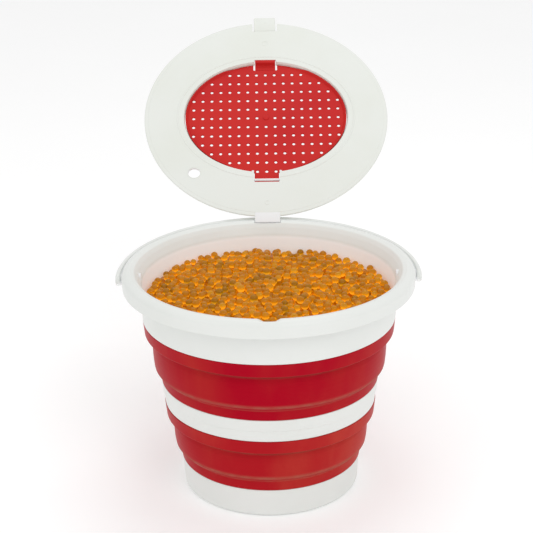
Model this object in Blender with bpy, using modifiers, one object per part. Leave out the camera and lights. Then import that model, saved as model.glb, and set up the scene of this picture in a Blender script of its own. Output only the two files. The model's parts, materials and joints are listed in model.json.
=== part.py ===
"""Round collapsible bucket with a hinged lid, a strainer hatch in the lid and a strap handle.

Metres, +Z up. The origin is the centre of the underside. The lid's hinge is at +Y and its latch at -Y;
the handle turns on its pegs at -X and +X. The lid stands open and the handle lies back against it.
"""
import math

import bmesh
import bpy
from mathutils import Matrix, Vector

# ---------------------------------------------------------------- driving dimensions
SEGMENTS = 56                 # sides of every turned piece, so that neighbours stay parallel
GAP = 0.0003                  # clearance between neighbouring pieces

# The wall, as a stack of heights from the floor up
CUP_HEIGHT = 0.029
LOWER_BAND_HEIGHT = 0.058
RING_HEIGHT = 0.023
UPPER_BAND_HEIGHT = 0.0625
NECK_HEIGHT = 0.0485          # foot of the neck to the crest of the rim

# Outer radii of the wall, from the floor up
BASE_RADIUS = 0.0850
CUP_RADIUS = 0.0873
RING_FOOT_RADIUS = 0.1022
RING_TOP_RADIUS = 0.1045
NECK_FOOT_RADIUS = 0.1204
MOUTH_RADIUS = 0.125          # inner lip of the rim

WALL = 0.0025                 # rigid plastic wall
FLOOR = 0.003
BASE_ROUND = 0.004            # bottom edge of the cup
RING_STEP = 0.0005            # fine step half way up the ring

# Soft fold bands, from the top: upright land, ledge, bowed panel, shoulder, upright land
BAND_WALL = 0.002
LAND_TOP = 0.0127             # height of the upper land
LAND_FOOT = 0.0105            # height of the lower land
LEDGE = 0.0040                # height of the ledge under the upper land
SHOULDER = 0.0047             # height of the shoulder over the lower land
LAND_DRAFT = 0.0013           # how far each stretch draws in as it goes down
PANEL_DRAFT = 0.0006
LEDGE_SHARE = 0.60            # ledge's part of the rest of the draw, the shoulder has the other
BOW = 0.0008                  # how far the middle panel bows out

# Rim
NECK_SET_BACK = 0.0032        # neck's outer face inside the mouth radius
CREST_OUT = 0.0055            # crest outside the mouth radius
RIM_OUT = 0.0133              # outer edge outside the mouth radius
RIM_THICKNESS = 0.0042
SKIRT_DROP = 0.016            # crest to the skirt's lower edge
SKIRT_WALL = 0.0018
SCALLOP_WIDTH = 0.021         # thumb notch in the front of the lip
SCALLOP_FLAT = 0.009
SCALLOP_DEPTH = 0.0027

# Handle
STRAP_THICKNESS = 0.0046
STRAP_HEIGHT = 0.0116
STRAP_ROUND = 0.0020
STRAP_CLEARANCE = 0.0017      # rim's outer edge to the strap
BOW_REACH = 0.0040            # extra reach of the bow at the back
PIVOT_DROP = 0.012            # crest to the pegs
EYE_RADIUS = 0.0062           # rounded end of the strap
PEG_RADIUS = 0.0027
PEG_REACH = 0.007             # length of peg from the strap inwards
BOW_DROP = 0.0092             # bow's centre line below the lid's hinge axis

# Lid
LID_THICKNESS = 0.0024
LID_INSET = 0.0003            # lid's edge inside the crest of the rim
LID_ANGLE = math.radians(143.0)
HINGE_OUT = 0.0022            # hinge axis outside the lid's edge
TAB_WIDTH = 0.026
TAB_TAIL = 0.0055             # tail of the tab past the hinge axis
LATCH_WIDTH = 0.024
LATCH_REACH = 0.0078          # latch beyond the lid's edge
LATCH_ROOT = 0.012            # latch's root inside the lid's edge
LATCH_SLOT = 0.0016
VENT_RADIUS = 0.0062
VENT_X = -0.076
VENT_Y = 0.0745

# Strainer hatch, an oval
HATCH_HALF_WIDTH = 0.087      # opening in the lid
HATCH_HALF_DEPTH = 0.0738
HATCH_CLEARANCE = 0.0006
HATCH_SINK = 0.0040           # hatch's inner face above the lid's inner face
HATCH_THICKNESS = 0.0020
COLLAR_WALL = 0.0030
HOLE_RADIUS = 0.0015
HOLE_PITCH_X = 0.0097
HOLE_PITCH_Y = 0.0118
HOLE_MARGIN = 0.0047          # room kept for the snap and the tongue in the holes' oval field
BOSS_RADIUS = 0.0036
TONGUE_WIDTH = 0.0256
BAR_RADIUS = 0.00135
BAR_OUT = 0.0094              # bar beyond the edge of the hatch opening
BAR_RISE = 0.0022             # bar's axis above the lid's inner face
SNAP_WIDTH = 0.022
SNAP_ROOT = 0.008             # snap tab's root inside the hatch's edge
SNAP_SLOT = 0.0020
SNAP_LIP = 0.0030             # lip beyond the hatch's edge

# ---------------------------------------------------------------- derived places
CUP_TOP = CUP_HEIGHT
RING_FOOT = CUP_TOP + LOWER_BAND_HEIGHT
RING_TOP = RING_FOOT + RING_HEIGHT
NECK_FOOT = RING_TOP + UPPER_BAND_HEIGHT
CREST = NECK_FOOT + NECK_HEIGHT
CREST_RADIUS = MOUTH_RADIUS + CREST_OUT
RIM_RADIUS = MOUTH_RADIUS + RIM_OUT
LID_RADIUS = CREST_RADIUS - LID_INSET
NECK_RADIUS = MOUTH_RADIUS - NECK_SET_BACK
STRAP_INNER = RIM_RADIUS + STRAP_CLEARANCE
STRAP_OUTER = STRAP_INNER + STRAP_THICKNESS
PIVOT = Vector((0, 0, CREST - PIVOT_DROP))
LID_FACE = CREST + GAP        # inner face of the closed lid
HINGE = Vector((0, LID_RADIUS + HINGE_OUT, LID_FACE + LID_THICKNESS / 2))
BOW_RADIUS = (STRAP_INNER + STRAP_THICKNESS / 2) * (1 + BOW_REACH / STRAP_OUTER)
HANDLE_TILT = math.asin((HINGE.z - BOW_DROP - PIVOT.z) / BOW_RADIUS)
HATCH_FACE = LID_FACE + HATCH_SINK
HATCH_BACK = HATCH_FACE + HATCH_THICKNESS
BAR = Vector((0, HATCH_HALF_DEPTH + BAR_OUT, LID_FACE + BAR_RISE))
HOOK_INNER = BAR_RADIUS + GAP
HOOK_OUTER = HATCH_BACK - BAR.z - GAP
HATCH_A = HATCH_HALF_WIDTH - HATCH_CLEARANCE
HATCH_B = HATCH_HALF_DEPTH - HATCH_CLEARANCE
LATCH_LINE = Vector((0, LATCH_ROOT - LID_RADIUS, HINGE.z))
SNAP_LINE = Vector((0, SNAP_ROOT - HATCH_B, HATCH_FACE + HATCH_THICKNESS / 2))
THROUGH = 0.010               # how far a cutter runs past what it cuts

# ---------------------------------------------------------------- scene and materials
for old in list(bpy.data.objects):
    bpy.data.objects.remove(old, do_unlink=True)


def new_collection(name):
    collection = bpy.data.collections.new(name)
    bpy.context.scene.collection.children.link(collection)
    return collection


PARTS = new_collection("collapsible_bucket")
TOOLS = new_collection("tools")


def plastic(name, colour, roughness):
    material = bpy.data.materials.new(name)
    material.use_nodes = True
    shader = material.node_tree.nodes["Principled BSDF"]
    shader.inputs["Base Color"].default_value = (*colour, 1)
    shader.inputs["Roughness"].default_value = roughness
    shader.inputs["Metallic"].default_value = 0
    return material


WHITE = (0.80, 0.81, 0.79)
LID_WHITE = (0.76, 0.78, 0.75)
RED = (0.58, 0.035, 0.030)


# ---------------------------------------------------------------- making solids
def link(name, mesh, collection=PARTS):
    item = bpy.data.objects.new(name, mesh)
    collection.objects.link(item)
    if collection is TOOLS:
        item.hide_render = True
        item.display_type = "WIRE"
    return item


def mesh_object(name, bm, collection=PARTS):
    """A new object from a bmesh, with its faces turned outwards."""
    bmesh.ops.recalc_face_normals(bm, faces=bm.faces)
    mesh = bpy.data.meshes.new(name)
    bm.to_mesh(mesh)
    bm.free()
    return link(name, mesh, collection)


def turned(name, profile, closed=True, collection=PARTS):
    """A profile of (radius, height) points, down its outer side first, turned about Z."""
    mesh = bpy.data.meshes.new(name)
    count = len(profile)
    edges = [(i, (i + 1) % count) for i in range(count if closed else count - 1)]
    mesh.from_pydata([(radius, 0, height) for radius, height in profile], edges, [])
    item = link(name, mesh, collection)
    screw = item.modifiers.new("turn", "SCREW")
    screw.axis = "Z"
    screw.steps = screw.render_steps = SEGMENTS
    screw.use_merge_vertices = True
    screw.merge_threshold = 0.00001
    screw.use_smooth_shade = True
    if not closed:
        item.modifiers.new("join_at_axis", "WELD").merge_threshold = 0.00001
    return item


def box(name, low, high, collection=TOOLS):
    bm = bmesh.new()
    bmesh.ops.create_cube(bm, size=1)
    low, high = Vector(low), Vector(high)
    bm.transform(Matrix.Translation((low + high) / 2) @ Matrix.Diagonal((*(high - low), 1)))
    return mesh_object(name, bm, collection)


def rod(name, start, end, radius, sides=24, collection=TOOLS):
    """A round bar from start to end."""
    start, end = Vector(start), Vector(end)
    run = end - start
    turn = run.to_track_quat("Z", "Y").to_matrix().to_4x4()
    bm = bmesh.new()
    bmesh.ops.create_cone(bm, cap_ends=True, segments=sides, radius1=radius, radius2=radius,
                          depth=run.length, matrix=Matrix.Translation((start + end) / 2) @ turn)
    return mesh_object(name, bm, collection)


def oval(name, low, high, low_half, high_half, collection=TOOLS):
    """An oval block between two heights; each half is (half width, half depth)."""
    bm = bmesh.new()
    bmesh.ops.create_cone(bm, cap_ends=True, segments=SEGMENTS, radius1=1, radius2=1, depth=1)
    for vertex in bm.verts:
        half, height = (high_half, high) if vertex.co.z > 0 else (low_half, low)
        vertex.co = Vector((vertex.co.x * half[0], vertex.co.y * half[1], height))
    return mesh_object(name, bm, collection)


def combine(target, tool, operation):
    step = target.modifiers.new(tool.name, "BOOLEAN")
    step.operation = operation
    step.solver = "EXACT"
    step.object = tool


def cut(target, *tools):
    for tool in tools:
        combine(target, tool, "DIFFERENCE")


def join(target, *tools):
    for tool in tools:
        combine(target, tool, "UNION")


def pivot_empty(name, place, angle=0.0, parent=None, parent_place=Vector((0, 0, 0))):
    """An empty on a joint's axis, turned about X."""
    empty = link(name, None)
    empty.location = Vector(place) - parent_place
    empty.rotation_euler.x = angle
    empty.parent = parent
    return empty


def hang(item, empty, place):
    """Hangs a piece, drawn where it sits when everything is closed, on a joint's empty."""
    tools = [step.object for step in item.modifiers if step.type == "BOOLEAN"]
    for piece in [item] + tools:
        piece.parent = empty
        piece.location = -Vector(place)


def arc(centre, radius, start, end, steps):
    """Points on an arc, angles in degrees, as (radius, height) pairs."""
    points = []
    for i in range(steps + 1):
        angle = math.radians(start + (end - start) * i / steps)
        points.append((centre[0] + radius * math.cos(angle), centre[1] + radius * math.sin(angle)))
    return points


# ---------------------------------------------------------------- wall pieces
def base_cup():
    foot_inner = BASE_RADIUS - WALL
    top = CUP_TOP - GAP / 2
    profile = [(0, FLOOR), (foot_inner - FLOOR, FLOOR), (foot_inner, 2 * FLOOR),
               (CUP_RADIUS - WALL, top), (CUP_RADIUS, top)]
    profile += arc((BASE_RADIUS - BASE_ROUND, BASE_ROUND), BASE_ROUND, 0, -90, 4)
    profile += [(0, 0)]
    return turned("base_cup", profile, closed=False)


def fold_outline(foot, foot_radius, top, top_radius):
    """Outer face of a fold band, from the top down, as (radius, height) points."""
    land_radius = top_radius - LAND_DRAFT
    foot_land_radius = foot_radius + LAND_DRAFT
    steps = land_radius - foot_land_radius - PANEL_DRAFT
    panel_top_radius = land_radius - steps * LEDGE_SHARE
    panel_foot_radius = panel_top_radius - PANEL_DRAFT
    panel_top = top - LAND_TOP - LEDGE
    panel_foot = foot + LAND_FOOT + SHOULDER
    outline = [(top_radius, top), (land_radius, top - LAND_TOP)]
    for share in (0.0, 0.25, 0.75, 1.0):
        radius = panel_top_radius + (panel_foot_radius - panel_top_radius) * share
        bow = BOW if 0 < share < 1 else 0.0
        outline.append((radius + bow, panel_top + (panel_foot - panel_top) * share))
    outline += [(foot_land_radius, foot + LAND_FOOT), (foot_radius, foot)]
    return outline


def fold_band(name, foot, foot_radius, top, top_radius):
    outer = fold_outline(foot + GAP / 2, foot_radius, top - GAP / 2, top_radius)
    inner = [(radius - BAND_WALL, height) for radius, height in reversed(outer)]
    return turned(name, outer + inner)


def middle_ring():
    foot, top = RING_FOOT + GAP / 2, RING_TOP - GAP / 2
    half = (foot + top) / 2
    half_radius = (RING_FOOT_RADIUS + RING_TOP_RADIUS) / 2
    return turned("middle_ring", [
        (RING_TOP_RADIUS, top),
        (half_radius, half),
        (half_radius - RING_STEP, half - RING_STEP),
        (RING_FOOT_RADIUS - RING_STEP, foot),
        (RING_FOOT_RADIUS - WALL, foot),
        (RING_TOP_RADIUS - WALL, top),
    ])


def rim_ring():
    """Neck, mouth and rolled rim in one moulding, with peg bosses, a hinge pocket and a thumb notch."""
    foot = NECK_FOOT + GAP / 2
    roll = RIM_RADIUS - CREST_RADIUS
    profile = [(CREST_RADIUS + roll * math.sin(t), CREST - roll * 0.75 * (1 - math.cos(t)))
               for t in (math.pi / 2 * i / 4 for i in range(5))]
    profile += [
        (RIM_RADIUS, CREST - SKIRT_DROP),
        (RIM_RADIUS - SKIRT_WALL, CREST - SKIRT_DROP),
        (RIM_RADIUS - SKIRT_WALL, CREST - RIM_THICKNESS - roll * 0.4),
        (CREST_RADIUS + roll * 0.35, CREST - RIM_THICKNESS),
        (NECK_RADIUS, CREST - 2 * RIM_THICKNESS),
        (NECK_FOOT_RADIUS, foot),
        (NECK_FOOT_RADIUS - WALL, foot),
        (NECK_RADIUS - WALL, CREST - 2 * RIM_THICKNESS),
        (MOUTH_RADIUS - WALL / 2, CREST - RIM_THICKNESS),
        (MOUTH_RADIUS, CREST - WALL),
        (MOUTH_RADIUS + CREST_OUT / 2, CREST - WALL / 4),
    ]
    rim = turned("rim_ring", profile)

    # A bored boss for each of the handle's pegs, from the neck out through the skirt
    for side, name in ((-1, "left"), (1, "right")):
        join(rim, rod(f"peg_boss_{name}", (side * (NECK_RADIUS - WALL / 2), 0, PIVOT.z),
                      (side * (RIM_RADIUS + STRAP_CLEARANCE / 2), 0, PIVOT.z), EYE_RADIUS * 0.9))
        cut(rim, rod(f"peg_bore_{name}", (side * (STRAP_INNER - PEG_REACH - 2 * GAP), 0, PIVOT.z),
                     (side * (RIM_RADIUS + THROUGH), 0, PIVOT.z), PEG_RADIUS + GAP))

    # A pocket for the lid's tab, closed underneath so that water stays in
    wide = TAB_WIDTH / 2 + 2 * GAP
    swing = math.hypot(TAB_TAIL, LID_THICKNESS / 2) + 2 * GAP
    block = box("hinge_block", (-wide - WALL / 2, NECK_RADIUS - WALL / 2, HINGE.z - swing - WALL),
                (wide + WALL / 2, RIM_RADIUS - SKIRT_WALL / 2, CREST - WALL))
    pocket = box("hinge_pocket", (-wide, HINGE.y - swing, HINGE.z - swing),
                 (wide, RIM_RADIUS + THROUGH, CREST + THROUGH))
    join(rim, block)
    cut(rim, pocket)

    cut(rim, thumb_notch())
    return rim


def thumb_notch():
    """A shallow trough with sloping ends, cut through the front of the lip."""
    bm = bmesh.new()
    floor = CREST - SCALLOP_DEPTH
    lift = THROUGH / SCALLOP_DEPTH
    spread = (SCALLOP_WIDTH - SCALLOP_FLAT) / 2
    outline = [(-SCALLOP_FLAT / 2, floor), (SCALLOP_FLAT / 2, floor),
               (SCALLOP_WIDTH / 2 + spread * (lift - 1), floor + THROUGH),
               (-SCALLOP_WIDTH / 2 - spread * (lift - 1), floor + THROUGH)]
    face = bm.faces.new([bm.verts.new((x, -MOUTH_RADIUS - CREST_OUT, z)) for x, z in outline])
    grown = bmesh.ops.extrude_face_region(bm, geom=[face])
    moved = [part for part in grown["geom"] if isinstance(part, bmesh.types.BMVert)]
    bmesh.ops.translate(bm, vec=(0, CREST_OUT + THROUGH, 0), verts=moved)
    return mesh_object("thumb_notch", bm, TOOLS)


# ---------------------------------------------------------------- handle
def handle():
    """Half a hoop of rounded strap. Each round end has a peg that snaps into the rim."""
    corner_x = STRAP_THICKNESS / 2 - STRAP_ROUND
    corner_z = STRAP_HEIGHT / 2 - STRAP_ROUND
    centre = (STRAP_INNER + STRAP_OUTER) / 2
    corners = ((1, 1, 0), (-1, 1, 90), (-1, -1, 180), (1, -1, 270))
    section = []
    for side, up, start in corners:
        middle = (centre + side * corner_x, PIVOT.z + up * corner_z)
        section += arc(middle, STRAP_ROUND, start, start + 90, 3)
    bm = bmesh.new()
    face = bm.faces.new([bm.verts.new((x, 0, z)) for x, z in section])
    geom = [face] + list(face.edges) + list(face.verts)
    bmesh.ops.spin(bm, geom=geom, cent=(0, 0, 0), axis=(0, 0, 1), angle=math.pi,
                   steps=SEGMENTS * 3 // 4, use_duplicate=False)
    bmesh.ops.remove_doubles(bm, verts=bm.verts, dist=0.00001)
    for vertex in bm.verts:
        vertex.co.y *= 1 + BOW_REACH / STRAP_OUTER
    strap = mesh_object("handle", bm)
    for side, name in ((-1, "left"), (1, "right")):
        join(strap, rod(f"strap_end_{name}", (side * STRAP_INNER, 0, PIVOT.z),
                        (side * STRAP_OUTER, 0, PIVOT.z), EYE_RADIUS, sides=32),
             rod(f"peg_{name}", (side * (STRAP_INNER - PEG_REACH), 0, PIVOT.z),
                 (side * (STRAP_OUTER - STRAP_THICKNESS / 2), 0, PIVOT.z), PEG_RADIUS))
    return strap


# ---------------------------------------------------------------- lid, drawn closed
def lid_ring():
    """Flat lid with a hinge tab, an oval collar round the hatch, a vent and a gap for the latch."""
    edge = LID_THICKNESS / 2
    profile = [(0, LID_FACE + LID_THICKNESS)]
    profile += [(LID_RADIUS - edge + edge * math.sin(t), LID_FACE + edge + edge * math.cos(t))
                for t in (math.pi * i / 4 for i in range(5))]
    profile += [(0, LID_FACE)]
    lid = turned("lid_ring", profile, closed=False)

    tab = box("lid_tab", (-TAB_WIDTH / 2, LID_RADIUS - 2 * WALL, LID_FACE),
              (TAB_WIDTH / 2, HINGE.y + TAB_TAIL, LID_FACE + LID_THICKNESS))
    outer = (HATCH_HALF_WIDTH + COLLAR_WALL, HATCH_HALF_DEPTH + COLLAR_WALL)
    collar = oval("hatch_collar", LID_FACE + edge, HATCH_BACK, outer, outer)
    reach = BAR_OUT + HOOK_OUTER + COLLAR_WALL + 2 * GAP
    lug_half = TONGUE_WIDTH / 2 + COLLAR_WALL
    lug = box("tongue_surround", (-lug_half, HATCH_HALF_DEPTH - WALL, LID_FACE + edge),
              (lug_half, HATCH_HALF_DEPTH + reach, HATCH_BACK))
    join(lid, tab, collar, lug)

    slope = HATCH_SINK / 2
    opening = oval("hatch_opening", LID_FACE - slope, HATCH_BACK + slope,
                   (HATCH_HALF_WIDTH + slope / 2, HATCH_HALF_DEPTH + slope / 2),
                   (HATCH_HALF_WIDTH, HATCH_HALF_DEPTH))
    tongue_way = box("tongue_way", (-TONGUE_WIDTH / 2 - HATCH_CLEARANCE, 0, LID_FACE - THROUGH),
                     (TONGUE_WIDTH / 2 + HATCH_CLEARANCE,
                      BAR.y + HOOK_OUTER + 2 * GAP, HATCH_BACK + THROUGH))
    snap_way = box("snap_way", (-SNAP_WIDTH / 2 - HATCH_CLEARANCE,
                                -HATCH_B - SNAP_LIP - HATCH_CLEARANCE, LID_FACE - THROUGH),
                   (SNAP_WIDTH / 2 + HATCH_CLEARANCE, 0, HATCH_BACK + THROUGH))
    latch_half = LATCH_WIDTH / 2 + LATCH_SLOT
    latch_way = box("latch_way", (-latch_half, -LID_RADIUS - THROUGH, LID_FACE - THROUGH),
                    (latch_half, LATCH_LINE.y, HATCH_BACK + THROUGH))
    vent = rod("vent", (VENT_X, VENT_Y, LID_FACE - THROUGH), (VENT_X, VENT_Y, LID_FACE + THROUGH),
               VENT_RADIUS, sides=32)
    cut(lid, opening, tongue_way, snap_way, latch_way, vent)

    bar_end = TONGUE_WIDTH / 2 + HATCH_CLEARANCE + WALL / 2
    join(lid, rod("hatch_bar", (-bar_end, BAR.y, BAR.z), (bar_end, BAR.y, BAR.z), BAR_RADIUS, sides=16))
    return lid


def lid_latch():
    """Flap on a thin flexing root at the front edge."""
    half = LATCH_WIDTH / 2
    latch = box("lid_latch", (-half, -LID_RADIUS - LATCH_REACH, LID_FACE),
                (half, LATCH_LINE.y - GAP, LID_FACE + LID_THICKNESS), collection=PARTS)
    rounding = latch.modifiers.new("edges", "BEVEL")
    rounding.width = LID_THICKNESS / 4
    rounding.segments = 2
    return latch


def strainer_holes():
    """One tool holding every hole: a grid inside an oval field, without the one at the centre."""
    bm = bmesh.new()
    field_x, field_y = HATCH_A, HATCH_B - HOLE_MARGIN
    rows = int(field_y / HOLE_PITCH_Y)
    columns = int(field_x / HOLE_PITCH_X)
    for row in range(-rows, rows + 1):
        for column in range(-columns, columns + 1):
            x, y = column * HOLE_PITCH_X, row * HOLE_PITCH_Y
            inside = (x / field_x) ** 2 + (y / field_y) ** 2 < 1
            if inside and (row or column):
                bmesh.ops.create_cone(bm, cap_ends=True, segments=6, depth=2 * THROUGH,
                                      radius1=HOLE_RADIUS, radius2=HOLE_RADIUS,
                                      matrix=Matrix.Translation((x, y, HATCH_FACE)))
    return mesh_object("strainer_holes", bm, TOOLS)


def strainer_hatch():
    """Perforated oval panel that hooks on the lid's bar at one end and snaps at the other."""
    half = (HATCH_A, HATCH_B)
    hatch = oval("strainer_hatch", HATCH_FACE, HATCH_BACK, half, half, collection=PARTS)
    tongue = box("hatch_tongue", (-TONGUE_WIDTH / 2, HATCH_B - WALL * 4, HATCH_FACE),
                 (TONGUE_WIDTH / 2, BAR.y, HATCH_BACK))
    hook = rod("hook", (-TONGUE_WIDTH / 2, BAR.y, BAR.z), (TONGUE_WIDTH / 2, BAR.y, BAR.z),
               HOOK_OUTER, sides=32)
    hook_mouth = box("hook_mouth", (-TONGUE_WIDTH, BAR.y - THROUGH, BAR.z - THROUGH),
                     (TONGUE_WIDTH, BAR.y + THROUGH, BAR.z))
    eye = rod("hook_eye", (-TONGUE_WIDTH, BAR.y, BAR.z), (TONGUE_WIDTH, BAR.y, BAR.z),
              HOOK_INNER, sides=16)
    boss = rod("centre_boss", (0, 0, HATCH_FACE - HATCH_THICKNESS / 2), (0, 0, HATCH_BACK - GAP),
               BOSS_RADIUS)
    snap_half = SNAP_WIDTH / 2 + SNAP_SLOT
    snap_way = box("snap_gap", (-snap_half, -HATCH_B - THROUGH, HATCH_FACE - THROUGH),
                   (snap_half, SNAP_LINE.y, HATCH_BACK + THROUGH))
    join(hatch, tongue, hook, boss)
    cut(hatch, hook_mouth, eye, snap_way, strainer_holes())
    return hatch


def hatch_latch():
    """Snap tab of the hatch: a short spring plate, a wall down to the lid and a lip."""
    half = SNAP_WIDTH / 2
    latch = box("hatch_latch", (-half, -HATCH_B, HATCH_FACE), (half, SNAP_LINE.y - GAP, HATCH_BACK),
                collection=PARTS)
    wall = box("snap_wall", (-half, -HATCH_B - HATCH_CLEARANCE, LID_FACE - HATCH_THICKNESS / 2),
               (half, -HATCH_B + HATCH_THICKNESS, HATCH_BACK))
    lip = box("snap_lip", (-half, -HATCH_B - SNAP_LIP, LID_FACE - HATCH_THICKNESS / 2),
              (half, -HATCH_B + HATCH_THICKNESS / 2, LID_FACE + HATCH_THICKNESS / 2))
    join(latch, wall, lip)
    return latch


# ---------------------------------------------------------------- assembly
def paint(material, *items):
    for item in items:
        own = material.copy()
        own.name = f"{item.name}_plastic"
        item.data.materials.append(own)
        if item.modifiers and item.modifiers[0].type == "SCREW":
            continue
        item.data.shade_smooth()
        item.data.set_sharp_from_angle(angle=math.radians(35))


def build():
    white = plastic("white_plastic", WHITE, 0.35)
    lid_white = plastic("lid_plastic", LID_WHITE, 0.42)
    red = plastic("red_rubber", RED, 0.38)

    cup, ring, rim = base_cup(), middle_ring(), rim_ring()
    lower = fold_band("lower_fold_band", CUP_TOP, CUP_RADIUS, RING_FOOT, RING_FOOT_RADIUS)
    upper = fold_band("upper_fold_band", RING_TOP, RING_TOP_RADIUS, NECK_FOOT, NECK_FOOT_RADIUS)
    strap = handle()
    lid, latch, hatch, snap = lid_ring(), lid_latch(), strainer_hatch(), hatch_latch()

    paint(white, cup, ring, rim, strap)
    paint(lid_white, lid, latch)
    paint(red, lower, upper, hatch, snap)

    hang(strap, pivot_empty("handle_pivot", PIVOT, HANDLE_TILT), PIVOT)
    lid_axis = pivot_empty("lid_hinge", HINGE, -LID_ANGLE)
    hatch_axis = pivot_empty("hatch_hinge", BAR, 0, lid_axis, HINGE)
    hang(lid, lid_axis, HINGE)
    hang(latch, pivot_empty("lid_latch_flex", LATCH_LINE, 0, lid_axis, HINGE), LATCH_LINE)
    hang(hatch, hatch_axis, BAR)
    hang(snap, pivot_empty("hatch_latch_flex", SNAP_LINE, 0, hatch_axis, BAR), SNAP_LINE)


build()
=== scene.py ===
# %% [markdown]
# # A collapsible bucket with a strainer lid
#
# The frame comes first: simple solids with real sizes and real joints. Every piece below is drawn again
# in finer detail over its solid and takes its sizes from that solid's box, and all but the two soft bands
# ride on the same moving body as their solids. Lengths are in metres, and +Z is up.

import json
import math

import bmesh
import bpy
from mathutils import Matrix, Quaternion, Vector


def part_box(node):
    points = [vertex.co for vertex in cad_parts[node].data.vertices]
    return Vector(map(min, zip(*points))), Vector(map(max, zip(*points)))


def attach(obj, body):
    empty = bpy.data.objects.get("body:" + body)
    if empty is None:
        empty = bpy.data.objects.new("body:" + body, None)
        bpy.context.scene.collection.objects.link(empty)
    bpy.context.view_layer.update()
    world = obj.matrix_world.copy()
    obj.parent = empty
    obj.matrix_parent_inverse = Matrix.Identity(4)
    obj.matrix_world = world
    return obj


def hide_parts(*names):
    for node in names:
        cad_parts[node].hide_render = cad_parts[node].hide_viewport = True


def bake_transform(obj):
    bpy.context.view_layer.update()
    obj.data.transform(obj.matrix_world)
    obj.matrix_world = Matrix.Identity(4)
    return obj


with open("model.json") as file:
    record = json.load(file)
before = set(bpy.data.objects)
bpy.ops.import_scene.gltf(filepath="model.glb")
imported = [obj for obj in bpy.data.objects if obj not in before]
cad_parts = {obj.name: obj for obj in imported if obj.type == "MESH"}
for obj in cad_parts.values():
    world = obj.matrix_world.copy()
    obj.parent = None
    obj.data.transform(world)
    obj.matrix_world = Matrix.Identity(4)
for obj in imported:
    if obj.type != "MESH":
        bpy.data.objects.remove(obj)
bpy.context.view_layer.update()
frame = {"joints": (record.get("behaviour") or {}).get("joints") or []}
joints = {joint["name"]: joint for joint in frame["joints"]}
mm = 0.001

# %% [markdown]
# ## The measures that everything shares
#
# A turned solid's box is as wide as its widest ring, and a joint's place is a hinge line. Reading them here
# means that no piece can drift from the frame.

# %% Measures from the frame
cup_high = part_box("base_cup")[1]
lower_low, lower_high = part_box("lower_fold_band")
ring_low, ring_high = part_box("middle_ring")
upper_low, upper_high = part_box("upper_fold_band")
rim_low, rim_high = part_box("rim_ring")
strap_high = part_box("handle")[1]

cup_radius, ring_foot_radius = cup_high.x, lower_high.x
ring_top_radius, neck_foot_radius = ring_high.x, upper_high.x
lid_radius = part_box("lid_ring")[1].x
crest = rim_high.z
hinge = Vector(joints["lid_hinge"]["pos_m"])
lid_angle = math.radians(joints["lid_hinge"]["range_deg"][1])
peg_line = Vector(joints["handle_swing"]["pos_m"])
wall = 2.5 * mm
clearance = 0.6 * mm  # between pieces that move past each other
beyond = 10 * mm  # how far a cutting block runs past what it cuts
weld = 0.002 * mm  # points closer than this are one point
print(f"rim crest at {crest / mm:.1f} mm, lid radius {lid_radius / mm:.1f} mm")

# %% [markdown]
# ## Camera and light
#
# A long lens from a little above keeps the rim's ellipse shallow. The object stands on a wide white floor,
# so light comes from all round, with a soft key to the right, a fill to the left and a weak one above.

# %% Camera
camera = bpy.data.objects.new("camera", bpy.data.cameras.new("camera"))
bpy.context.scene.collection.objects.link(camera)
aim = Vector((-1.8 * mm, 0, crest - 1 * mm))
looking_down, roll_angle, distance = math.radians(20.8), math.radians(-0.85), 1.423
camera.location = aim + distance * Vector((0, -math.cos(looking_down), math.sin(looking_down)))
camera.rotation_mode = "QUATERNION"
camera.rotation_quaternion = ((aim - camera.location).to_track_quat("-Z", "Y")
                              @ Quaternion((0, 0, 1), roll_angle))
camera.data.lens = 101.8
bpy.context.scene.camera = camera

# %% Lights and view
scene = bpy.context.scene
scene.view_settings.view_transform = "Standard"
world = bpy.data.worlds.new("studio")
world.use_nodes = True
world.node_tree.nodes["Background"].inputs["Color"].default_value = (1, 1, 1, 1)
world.node_tree.nodes["Background"].inputs["Strength"].default_value = 0.84
scene.world = world


def soft_light(name, place, size, power):
    """A square area light that faces the bucket."""
    light = bpy.data.objects.new(name, bpy.data.lights.new(name, "AREA"))
    light.data.size, light.data.energy = size, power
    light.location = place
    light.rotation_euler = (Vector((0, 0, 0.2)) - Vector(place)).to_track_quat("-Z", "Y").to_euler()
    scene.collection.objects.link(light)


soft_light("key", (0.7, -1.3, 1.3), 0.9, 5.0)
soft_light("fill", (-1.1, -0.9, 0.9), 1.0, 1.5)
soft_light("top", (0.1, 0.5, 1.6), 0.8, 3.0)

# %% [markdown]
# ## Two small tools for node trees
#
# Node trees are easier to read as sums. A Wire holds one socket, and adding or multiplying wires adds the
# Math nodes. A Board holds one tree, of a material or of geometry, and adds every other kind of node.
# A geometry tree starts with named inputs and ends by setting its material, and two functions do that.


# %% Wires and boards
class Wire:
    """A socket that does arithmetic."""

    def __init__(self, board, socket):
        self.board, self.socket = board, socket

    def __add__(self, other):
        return self.board.math("ADD", self, other)

    def __sub__(self, other):
        return self.board.math("SUBTRACT", self, other)

    def __rsub__(self, other):
        return self.board.math("SUBTRACT", other, self)

    def __mul__(self, other):
        return self.board.math("MULTIPLY", self, other)

    def __truediv__(self, other):
        return self.board.math("DIVIDE", self, other)

    __radd__, __rmul__ = __add__, __mul__


class Outlets:
    """The outputs of one node, by name or number."""

    def __init__(self, board, node):
        self.board, self.node = board, node

    def __getitem__(self, name):
        return Wire(self.board, self.node.outputs[name])

    def float_out(self):
        """The number that a Random Value node gives, which has an output for each kind of value."""
        return Wire(self.board, next(s for s in self.node.outputs if s.type == "VALUE" and s.enabled))


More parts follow.
